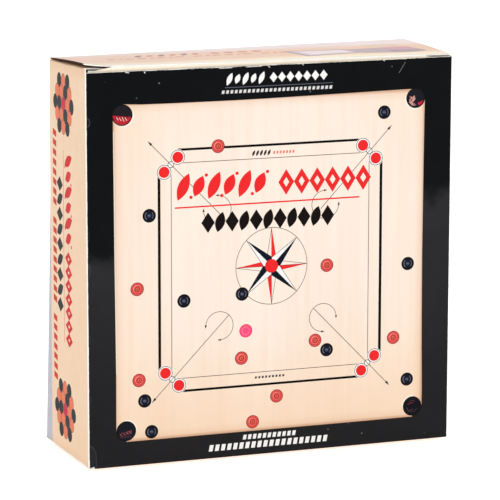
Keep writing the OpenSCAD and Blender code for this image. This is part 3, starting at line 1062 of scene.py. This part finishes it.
def lid_artwork():
    s = []
    # small printed picture of a board, and a band beside it
    s.append(((186, 176, 186), [(14.5, 0.3), (42.5, -0.3), (46.9, -13.4), (19.1, -19.0)]))
    s.append(((238, 216, 222), [(17.3, -0.9), (41.5, -1.5), (44.5, -12.0), (21.1, -16.4)]))
    s.append(((252, 238, 240), [(21.1, -2.7), (40.1, -3.1), (42.1, -10.4), (23.9, -13.3)]))
    s.append(((206, 186, 190), [(43.1, -2.0), (58, -1.0), (72.6, -1.4), (76.6, -14.2), (70, -17.0), (60, -17.2), (46.1, -15.4)]))
    s.append(((190, 170, 178), [(60.0, -7.8), (75.0, -9.4), (76.6, -14.2), (70, -17.0), (60, -17.2)]))
    s.append(((240, 216, 190), [(54.0, 9.0), (70.0, 9.6), (72.0, 3.2), (56.0, 2.6)]))
    s.append(((230, 176, 184), [(60.0, 0.0), (72.6, 0.2), (74.8, -7.0), (62.0, -8.0)]))
    # dashes in place of wording
    for b in row(-66, 18, -2.6, -0.9, [2, 1, 2, 2, 1, 2, 1, 2, -1, 2, 1, 2, 2, 1, 2, -1, 2, 1, 2], 0.1, 0.34):
        s.append(((216, 128, 116), b))
    for i in range(6):
        s.append(((222, 150, 138) if i % 2 else (176, 150, 148), leaf(-49.0 + i * 5.2, 7.4, 3.0, 9.0 if i % 2 == 0 else 6.4, -24)))
    for i in range(4):
        s.append(((230, 160, 146), lozenge(-14.4 + 6.4 * i, 7.0, 5.4, 6.8)))
    return s


def back_artwork():
    s = [((150, 148, 168), rect(-74, 9, 74, 161)), ("back", rect(-73.3, 9.7, 73.3, 160.3))]
    # outline of the opening layout, and rules under it
    cx, cz, p = 0.0, 104.0, 15.0
    for i, r in enumerate(["DPD", "PPDP", "DDQPD", "PPDP", "DPD"]):
        for j, c in enumerate(r):
            x = cx + (j - (len(r) - 1) / 2) * p
            z = cz + (2 - i) * p * 0.866
            s.append(((96, 96, 116), circle(x, z, p * 0.48)))
            s.append(({"D": (96, 96, 116), "P": "back", "Q": (214, 90, 120)}[c], circle(x, z, p * 0.44)))
    for i, k in enumerate((54, 50, 56, 30)):
        s.append(((128, 127, 148), rect(-56, 45.0 - 7.0 * i, k, 46.6 - 7.0 * i)))
    return s


# ---- the carton's walls --------------------------------------------------------------------------

M_BACK_PALE = plain_material("print_back_pale", (238, 236, 240))

ZT, ZB = H - R, R  # heights at which the closures' creases begin
SIDE_TOP, SIDE_BOTTOM = H - T - 0.1, T + 0.1
DUST_FRONT = dl_lo[1]
DUST_REAR = dl_hi[1]


def dressed(ob, body, nodes):
    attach(ob, body)
    if nodes:
        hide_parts(*nodes)
    return ob


front_outline = rect(-HW + R, 0, HW - R, H)
dressed(slab("front_panel_board", front_outline, to_front, (M_INNER, M_INNER, M_RAW), -0.05), "carton", ["front_panel"])
dressed(print_sheet("front_panel_print", front_outline, to_front, (0, -1, 0), "border", front_artwork(), {"border": M_BORDER, "field": M_FIELD}, lit=1.22, sheen=0.008),
        "carton", ["front_panel"])

back_outline = rect(-HW + R, 0, HW - R, ZT)
back_outline = [(-HW + R + 0.6, ZB), (HW - R, ZB), (HW - R, ZT), (-HW + R + 0.6, ZT)]
dressed(slab("back_panel_board", back_outline, to_back, (M_INNER, M_INNER, M_RAW), -0.05), "carton", ["back_panel"])
dressed(print_sheet("back_panel_print", back_outline, to_back, (0, 1, 0), "back", back_artwork(), {"back": M_BACK}),
        "carton", ["back_panel"])


def side_outline(left):
    """A side panel with its top and bottom cut down where the dust flaps fold off it."""
    a = YF + R
    rear_t = YB - R
    rear_b = 17.3 if left else YB - R
    bot_rear = min(DUST_REAR, rear_b - 0.2) if left else DUST_REAR
    pts = [(a, SIDE_BOTTOM), (DUST_FRONT, SIDE_BOTTOM), (DUST_FRONT, 2 * R), (bot_rear, 2 * R), (bot_rear, SIDE_BOTTOM), (rear_b, SIDE_BOTTOM)]
    if left:
        pts += [(17.3 + 9.0 * (z / 142) ** 1.15, z) for z in (12, 26, 42, 60, 80, 100, 120)] + [(rear_t, 142)]
    pts += [(rear_t, SIDE_TOP), (DUST_REAR, SIDE_TOP), (DUST_REAR, SIDE_TOP - R), (DUST_FRONT, SIDE_TOP - R), (DUST_FRONT, SIDE_TOP), (a, SIDE_TOP)]
    return pts


for left, to3, out, body_node in ((True, to_left, (-1, 0, 0), "left_panel"), (False, to_right, (1, 0, 0), "right_panel")):
    o = side_outline(left)
    dressed(slab(body_node + "_board", o, to3, (M_INNER, M_INNER, M_RAW), -0.05), "carton", [body_node])
    dressed(print_sheet(body_node + "_print", o, to3, out, "side", side_artwork(left), {"side": M_SIDE, "back": M_BACK}, lit=1.26, sheen=0.044),
            "carton", [body_node])


def to_glue(u, v, w):
    return racked(stack(-HW + T + 0.03 - w, u, v))


glue_outline = [(YB - R, 0.72), (YB - R, SIDE_TOP - 1.2), (21.5, 165.0), (11.4, 152.0), (11.4, 18.0), (15.8, 3.4), (15.8, 0.72)]
dressed(slab("glue_flap_board", glue_outline, to_glue, (M_BACK, M_INNER, M_RAW), 0.0, -T + 0.03), "carton", ["glue_flap"])


def vertical_fold(name, sx, sy, mat, z_front, z_side, zb_front, zb_side, x_out=None):
    """Quarter-round fold on a vertical corner, from the front or back face round to the side."""
    xo = HW if x_out is None else x_out
    zs = np.linspace(0, 1, 60)
    th = np.linspace(0, PI / 2, 7)
    t = th / (PI / 2)
    nx, ny = sx * np.sin(th), sy * np.cos(th)
    x = sx * (xo - R) + R * nx
    y = sy * (YB - R) + R * ny
    top = z_front + (z_side - z_front) * t ** 1.5
    bot = zb_front + (zb_side - zb_front) * t
    z = bot[None, :] + (top - bot)[None, :] * zs[:, None]
    outer = stack(x[None, :], y[None, :], z)
    normal = stack(nx[None, :] + 0 * z, ny[None, :] + 0 * z, 0 * z)
    return strip(name, racked(outer), normal, (mat, M_INNER, M_RAW))


F_FL = fold_material("fold_front_left", (16, 17, 20), (250, 217, 183), crack=1.4, width=0.34, centre=0.50)
F_FR = fold_material("fold_front_right", (26, 26, 29), (250, 217, 183), crack=0.7, width=0.2)
F_BR = fold_material("fold_back_right", (190, 188, 197), (250, 217, 183), crack=0.35, width=0.2)
F_BL = fold_material("fold_back_left", (190, 188, 197), (188, 186, 195), crack=0.2, width=0.14)
# painted shade: the flap side of the dust flaps' creases is darker than the side print, as in the gap under the lid
F_DUST_PAINTED_SHADE = fold_material("crease_side", (250, 214, 178), (206, 162, 126), crack=0.06, width=0.1)
F_REAR = fold_material("crease_rear", (214, 212, 224), (236, 234, 240), crack=0.3, width=0.16)
F_TUCK = fold_material("crease_tuck", (255, 252, 240), (255, 252, 242), crack=0.5, width=0.2)

dressed(vertical_fold("fold_front_left", -1, -1, F_FL, H, SIDE_TOP + side_lift(YF + R), 0, SIDE_BOTTOM), "carton", [])
dressed(vertical_fold("fold_front_right", 1, -1, F_FR, H, SIDE_TOP + side_lift(YF + R, False), 0, SIDE_BOTTOM), "carton", [])
dressed(vertical_fold("fold_back_right", 1, 1, F_BR, ZT + 1.0, SIDE_TOP, ZB, SIDE_BOTTOM), "carton", [])
dressed(vertical_fold("fold_back_left", -1, 1, F_BL, ZT + 0.1, SIDE_TOP - 1.0, ZB, 0.72, HW - T), "carton", [])

# ---- closures --------------------------------------------------------------------------------------

SLIT = 71.2  # the slit locks run outwards from here


def flip(p):
    p = np.array(p, float)
    p[..., 2] = H - p[..., 2]
    return p


def closure(end):
    top = end == "top"
    up = (lambda p: p) if top else flip
    lift_f = front_lift if top else (lambda x: 0 * np.asarray(x, float))
    lift_r = rear_lift if top else (lambda x: 0 * np.asarray(x, float))
    b_lid, b_tuck = end + "_closure", end + "_tuck"

    # lid
    lid_outline = [(-LW, YT + 0.6), (-LW + 1, YT), (-SLIT - 0.6, YT), (-SLIT, YT + R), (SLIT, YT + R), (SLIT + 0.6, YT),
                   (LW - 1, YT), (LW, YT + 0.6), (LW, YB - R), (-LW, YB - R)]
    to3 = to_lid if top else to_bottom
    dressed(slab(end + "_lid_board", lid_outline, to3, (M_INNER, M_INNER, M_LID_RIM if top else M_RAW), -0.05, cell=4.0), b_lid, [end + "_lid"])
    if top:
        art, keys, slot = lid_artwork(), {"lid": M_LID, "back_pale": M_BACK_PALE}, "printed_lid"
    else:
        art, keys, slot = [], {"lid": M_SIDE}, "printed_side"
    dressed(print_sheet(end + "_lid_print", lid_outline, to3, (0, 0, 1 if top else -1), "lid", art, keys, cell=4.0), b_lid, [end + "_lid"])

    # rear crease: back panel to lid
    xs = np.linspace(-LW, LW, 60)
    th = np.linspace(0, PI / 2, 7)
    outer = stack(xs[:, None], YB - R + R * np.cos(th)[None, :], H - R + R * np.sin(th)[None, :] + lift_r(xs)[:, None])
    normal = stack(0 * xs[:, None], np.cos(th)[None, :] + 0 * xs[:, None], np.sin(th)[None, :] + 0 * xs[:, None])
    if not top:
        outer, normal = racked(flip(outer)), normal * (1, 1, -1)
    ob = strip(end + "_rear_crease", outer, normal, (F_REAR, M_INNER, M_RAW))
    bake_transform(ob)

    # front crease: lid to tuck flap, between the slit locks
    xs = np.linspace(-SLIT, SLIT, 50)
    th = np.linspace(PI / 2, PI + LEAN, 8)
    outer = stack(xs[:, None], YT + R + R * np.cos(th)[None, :], H - R + R * np.sin(th)[None, :] + lift_f(xs)[:, None])
    normal = stack(0 * xs[:, None], np.cos(th)[None, :] + 0 * xs[:, None], np.sin(th)[None, :] + 0 * xs[:, None])
    if not top:
        outer, normal = flip(outer), normal * (1, 1, -1)
    ob = strip(end + "_tuck_crease", outer, normal, (F_TUCK, M_INNER, M_RAW))
    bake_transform(ob)

    # tuck flap, leaning in behind the front panel
    def to_tuck(u, v, w):
        y = YT + R - R * math.cos(LEAN) + v * math.sin(LEAN) - w * math.cos(LEAN)
        z = H - R - R * math.sin(LEAN) + lift_f(u) - v * math.cos(LEAN) - w * math.sin(LEAN)
        return up(stack(u, y, z))

    tip, r = 12.3 + (1.4 if top else 0.0), 9.0
    corner = lambda s: [(s * (TW - r + r * math.sin(a)), tip - r + r * math.cos(a)) for a in np.linspace(0, PI / 2, 10)]
    sh = 2.2 if top else 0.6
    outline = [(-SLIT, 0.0), (-SLIT - 0.8, 0.15), (-TW + 3.2, sh * 0.85), (-TW, sh)] + corner(-1)[::-1] + corner(1) + [(TW, sh * 0.8), (SLIT + 0.8, 0.2), (SLIT, 0.0)]
    dressed(slab(end + "_tuck_flap_board", outline, to_tuck, (M_CREAM, M_INNER, M_RAW), 0.0, -T, 4.0), b_tuck, [end + "_tuck_flap"])

    # dust flaps
    for side, sx in (("left", -1), ("right", 1)):
        left = side == "left"
        rise = (lambda y: side_lift(y, left)) if top else (lambda y: 0 * np.asarray(y, float))
        rear = DUST_REAR if (top or not left) else 17.0
        body = f"{end}_dust_{side}"

        def to_dust(u, v, w, sx=sx, rise=rise):
            fade = 1 - smooth(u, 0, 34)
            p = stack(sx * (HW - u), v, SIDE_TOP + rise(v) * fade + w)
            return p if top else racked(flip(p))

        s_end = HW - 43.0
        tap = lambda s: 25.0 - 0.48 * s
        o = [(R, DUST_FRONT), (s_end - 3, DUST_FRONT), (s_end, DUST_FRONT + 3), (s_end, tap(s_end) - 2), (s_end - 2, tap(s_end - 2))]
        if rear < DUST_REAR:
            o += [(R + 4.4, min(rear, tap(R + 4.4))), (R, rear)]
        else:
            o += [(R, DUST_REAR)]
        dressed(slab(f"{end}_dust_flap_{side}_board", o, to_dust, (M_SIDE, M_INNER, M_RAW), 0.0, -T, 4.0), body, [f"{end}_dust_flap_{side}"])

        ys = np.linspace(DUST_FRONT, rear, 26)
        th = np.linspace(0, PI / 2, 7)  # from the side face up to the flap
        zc = SIDE_TOP - R + rise(ys)
        outer = stack(sx * (HW - R + R * np.cos(th))[None, :] + 0 * ys[:, None], ys[:, None], zc[:, None] + R * np.sin(th)[None, :])
        normal = stack(sx * np.cos(th)[None, :] + 0 * ys[:, None], 0 * ys[:, None], np.sin(th)[None, :] + 0 * ys[:, None])
        if not top:
            outer, normal = racked(flip(outer)), normal * (1, 1, -1)
        ob = strip(f"{end}_{side}_crease", outer, normal, (F_DUST_PAINTED_SHADE, M_INNER, M_RAW))
        if top:
            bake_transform(ob)
        elif left:  # follows the racked corner, baked in place like the others
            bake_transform(ob)
        else:
            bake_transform(ob)


closure("top")
closure("bottom")

# ---- insert ------------------------------------------------------------------------------------------

p_lo, p_hi = box_mm("insert_platform")
n_lo, n_hi = box_mm("foam_nest")


def rounded_ring(hx, z0, z1, r, n=5):
    """A rounded rectangle about x = 0, as (x, z) points."""
    pts = []
    for cx, cz, a0 in ((hx - r, z1 - r, 0), (-hx + r, z1 - r, 90), (-hx + r, z0 + r, 180), (hx - r, z0 + r, 270)):
        for i in range(n + 1):
            a = math.radians(a0 + 90 * i / n)
            pts.append((cx + r * math.cos(a), cz + r * math.sin(a)))
    return pts


def platform():
    """Folded tray of board: a face and four skirts, creased with a small radius."""
    # stands a little proud of its seat, clear of the dust flap on the lifted corner
    hx, z0, z1, y0, y1 = p_hi[0], p_lo[2] + 2.2, p_hi[2], p_lo[1], p_hi[1]
    t, r = T, 0.8
    rows = []
    for a in np.linspace(0, PI / 2, 6):  # round the face's edge
        rows.append((r * (1 - math.sin(a)), y0 + r * (1 - math.cos(a))))
    for y in np.linspace(y0 + 4, y1 - 0.1, 6):
        rows.append((0.0, y))
    rows += [(0.06, y1), (t - 0.06, y1), (t, y1 - 0.1)]
    for y in np.linspace(y1 - 4, y0 + 4, 5):
        rows.append((t, y))
    for a in np.linspace(PI / 2, 0, 4):
        rows.append((t + 0.2 * (1 - math.sin(a)), y0 + t + 0.2 * (1 - math.cos(a))))
    verts, n = [], None
    for inset, y in rows:
        ring = rounded_ring(hx - inset, z0 + inset, z1 - inset, 0.9 + 0.0 * inset)
        n = len(ring)
        verts += [(x, y, z) for x, z in ring]
    faces = []
    for i in range(len(rows) - 1):
        for j in range(n):
            a, b = i * n + j, i * n + (j + 1) % n
            faces.append([a, b, b + n, a + n])
    # the face's two sides
    for i, y in ((0, rows[0][1]), (len(rows) - 1, rows[-1][1])):
        ring = [(verts[i * n + j][0], verts[i * n + j][2]) for j in range(n)]
        v, f = triangulate(ring, (), grid_points(ring, 9.0, 4.0))
        ids = {}
        for k, p in enumerate(v):
            d = np.hypot(*(np.array(ring) - p).T)
            m = int(d.argmin())
            if d[m] < 1e-4:
                ids[k] = i * n + m
            else:
                ids[k] = len(verts)
                bow = 0.15 * math.cos(PI * p[0] / (2 * hx)) * math.sin(PI * (p[1] - z0) / (z1 - z0))
                verts.append((p[0], y + (bow if i == 0 else bow), p[1]))
        faces += [[ids[int(a)] for a in t_] for t_ in f]
    return outward(add_object("insert_platform_board", racked(verts), faces, [M_INSERT]))


dressed(platform(), "carton", ["insert_platform"])


def nest():
    """Foam sheet with the hexagonal cut-out; its die-cut edges are slightly pressed in."""
    hx, z0, z1 = n_hi[0], n_lo[2], n_hi[2]
    y0, y1 = n_lo[1], n_hi[1]
    zc = (z0 + z1) / 2
    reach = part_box("coin_black_4")[0]
    rad = 15.8
    pitch2 = 63.0
    win = []
    for i in range(6):
        for e in np.linspace(-30, 30, 9):
            a = math.radians(60 * i + e)
            c = math.radians(60 * i)
            win.append((pitch2 * math.cos(c) + rad * math.cos(a), zc + pitch2 * math.sin(c) + rad * math.sin(a)))
    outer = divided(rounded_ring(hx - 0.1, z0 + 0.1, z1 - 0.1, 1.2), 4.0)
    win = divided(win, 4.0)
    v, f = triangulate(outer, [win], grid_points(outer, 4.5, 2.6))
    f = f[~inside(win, v[f].mean(1))]
    used = np.unique(f)
    remap = np.full(len(v), -1)
    remap[used] = np.arange(len(used))
    v, f = v[used], remap[f]
    e = np.concatenate([f[:, [0, 1]], f[:, [1, 2]], f[:, [2, 0]]])
    have = {(int(a), int(b)) for a, b in e}
    rim = [(a, b) for a, b in have if (b, a) not in have]
    n = len(v)
    normal = np.zeros((n, 2))
    for a, b in rim:
        d = v[b] - v[a]
        out = np.array([d[1], -d[0]]) / np.hypot(*d)
        normal[a] += out
        normal[b] += out
    ln = np.hypot(*normal.T)
    on = ln > 1e-6
    normal[on] /= ln[on, None]
    rid = np.where(on)[0]
    pos = {int(r): i for i, r in enumerate(rid)}
    k = len(rid)
    rr = 0.7
    prof = [(rr * (1 - math.sin(a)), y0 + rr * (1 - math.cos(a))) for a in np.linspace(0, PI / 2, 5)]
    prof += [(0.18 * math.sin(PI * s), y0 + rr + (y1 - y0 - 2 * rr) * s) for s in (0.25, 0.5, 0.75)]
    prof += [(rr * (1 - math.cos(a)), y1 - rr + rr * math.sin(a)) for a in np.linspace(0, PI / 2, 5)]
    dimple = 0.10 * np.sin(v[:, 0] * 0.55) * np.sin(v[:, 1] * 0.47 + 1.0)
    flat0 = v - normal * prof[0][0] * on[:, None]
    flat1 = v - normal * prof[-1][0] * on[:, None]
    verts = [(p[0], y0 + max(0, d * (not o)), p[1]) for p, d, o in zip(flat0, dimple, on)] + [(p[0], y1, p[1]) for p in flat1]
    base = len(verts)
    for inset, y in prof[1:-1]:
        verts += [(v[r][0] - normal[r][0] * inset, y, v[r][1] - normal[r][1] * inset) for r in rid]
    faces = [list(map(int, t)) for t in f] + [[int(q) + n for q in t[::-1]] for t in f]
    m = len(prof) - 2
    for a, b in rim:
        i, j = pos[a], pos[b]
        chain_a = [a] + [base + q * k + i for q in range(m)] + [n + a]
        chain_b = [b] + [base + q * k + j for q in range(m)] + [n + b]
        for q in range(len(chain_a) - 1):
            faces.append([chain_b[q], chain_a[q], chain_a[q + 1], chain_b[q + 1]])
    return outward(add_object("foam_nest_sheet", verts, faces, [M_FOAM]))


foam = dressed(nest(), "carton", ["foam_nest"])

# ---- carrom men ------------------------------------------------------------------------------------------

M_BLACK_MAN = lacquer_material("lacquer_black", (34, 32, 35), (70, 66, 66), 0.35)
M_NATURAL_MAN = lacquer_material("lacquer_natural", (236, 134, 98), (196, 92, 62), 0.22)
M_QUEEN = lacquer_material("lacquer_queen", (214, 44, 88), (150, 22, 56), 0.2)


def man_profile(r, h):
    ring = [(0, h - 0.9), (2.6, h - 0.9), (3.2, h - 0.35), (5.2, h - 0.35), (5.7, h - 0.8), (6.7, h - 0.8), (7.2, h), (9.6, h),
            (10.1, h - 0.5), (11.1, h - 0.5), (11.6, h), (r - 1.6, h), (r - 0.7, h - 0.35), (r - 0.15, h - 1.2), (r, h - 2.2)]
    pts = ring + [(a, -b) for a, b in ring[::-1]]
    # two passes of corner cutting turn the chain into soft, turned curves
    for _ in range(2):
        out = [pts[0]]
        for p, q in zip(pts[:-1], pts[1:]):
            out.append((p[0] * 0.78 + q[0] * 0.22, p[1] * 0.78 + q[1] * 0.22))
            out.append((p[0] * 0.22 + q[0] * 0.78, p[1] * 0.22 + q[1] * 0.78))
        out.append(pts[-1])
        pts = out
    clean = [pts[0]]
    for p in pts[1:]:
        if math.dist(p, clean[-1]) > 0.05:
            clean.append(p)
    return clean


def man(node, mat, seed):
    lo, hi = box_mm(node)
    c = (lo + hi) / 2
    r, h = (hi[0] - lo[0]) / 2, (hi[1] - lo[1]) / 2
    prof = man_profile(r, h)
    prof = prof[1:-1] if prof[0][0] < 1e-6 else prof
    seg = 80
    turn = seed * 2.4
    a = turn + np.arange(seg) * 2 * PI / seg
    verts = []
    for rad, y in prof:
        verts += [(rad * math.cos(t), -y, rad * math.sin(t)) for t in a]
    front, back = len(verts), len(verts) + 1
    verts += [(0, -(h - 0.9), 0), (0, h - 0.9, 0)]
    faces = []
    for i in range(len(prof) - 1):
        for j in range(seg):
            p, q = i * seg + j, i * seg + (j + 1) % seg
            faces.append([p, q, q + seg, p + seg])
    last = (len(prof) - 1) * seg
    for j in range(seg):
        faces.append([front, (j + 1) % seg, j])
        faces.append([back, last + j, last + (j + 1) % seg])
    ob = add_object(node + "_turned", verts, faces, [mat])
    att = ob.data.attributes.new("seed", "FLOAT", "POINT")
    att.data.foreach_set("value", np.full(len(verts), seed * 0.137, np.float32))
    ob.location = Vector(c * MM)
    outward(ob)
    return ob


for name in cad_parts:
    if not name.startswith("coin_"):
        continue
    kind = name.split("_")[1]
    mat, slot = {"queen": (M_QUEEN, "queen_lacquer"), "black": (M_BLACK_MAN, "black_lacquer"), "natural": (M_NATURAL_MAN, "natural_lacquer")}[kind]
    number = int(name.split("_")[2]) if name.count("_") == 2 else 0
    ob = man(name, mat, number + {"queen": 0.5, "black": 0.0, "natural": 20.0}[kind])
    dressed(ob, name, [name])

# ---- floor, lights and camera -------------------------------------------------------------------------------

floor_mat = bpy.data.materials.new("studio_floor")
floor_mat.use_nodes = True
ft = floor_mat.node_tree
fb = ft.nodes["Principled BSDF"]
fb.inputs["Base Color"].default_value = (0.86, 0.86, 0.86, 1)
fb.inputs["Roughness"].default_value = 0.9
fb.inputs["Specular IOR Level"].default_value = 0.1
fb.inputs["Emission Color"].default_value = (1, 1, 1, 1)
fb.inputs["Emission Strength"].default_value = 0.55
fm = bpy.data.meshes.new("studio_floor")
fm.from_pydata([(-9, -9, -0.0015), (9, -9, -0.0015), (9, 9, -0.0015), (-9, 9, -0.0015)], [], [(0, 1, 2, 3)])
fm.materials.append(floor_mat)
floor = bpy.data.objects.new("studio_floor", fm)
bpy.context.collection.objects.link(floor)

world = bpy.data.worlds.new("studio")
bpy.context.scene.world = world
world.use_nodes = True
world.node_tree.nodes["Background"].inputs[0].default_value = (1, 1, 1, 1)
world.node_tree.nodes["Background"].inputs[1].default_value = 0.64


def area(name, at, target, size, power):
    data = bpy.data.lights.new(name, "AREA")
    data.shape, data.size, data.energy = "SQUARE", size, power
    ob = bpy.data.objects.new(name, data)
    ob.location = at
    ob.rotation_euler = (Vector(target) - Vector(at)).to_track_quat("-Z", "Y").to_euler()
    bpy.context.collection.objects.link(ob)


area("key", (-1.3, -1.7, 1.9), (0, 0, 0.08), 1.4, 27)
area("fill", (1.6, -1.5, 1.1), (0, 0, 0.08), 1.4, 9)
area("rear", (0.4, 1.6, 1.7), (0, 0, 0.1), 1.4, 11)

cam = bpy.data.cameras.new("camera")
cam.sensor_fit, cam.sensor_width = "HORIZONTAL", 36
cam.lens = 216.166
cam.clip_start, cam.clip_end = 0.05, 60
cam_ob = bpy.data.objects.new("camera", cam)
bpy.context.collection.objects.link(cam_ob)
rot = Matrix(((0.941146, 0.063719, -0.331941), (-0.337999, 0.180737, -0.923629), (0.001142, 0.981465, 0.191637)))
cam_ob.matrix_world = Matrix.Translation((-0.436699, -1.213888, 0.336789)) @ rot.to_4x4()
bpy.context.scene.camera = cam_ob

bpy.context.scene.view_settings.view_transform = "Standard"
bpy.context.scene.view_settings.look = "None"
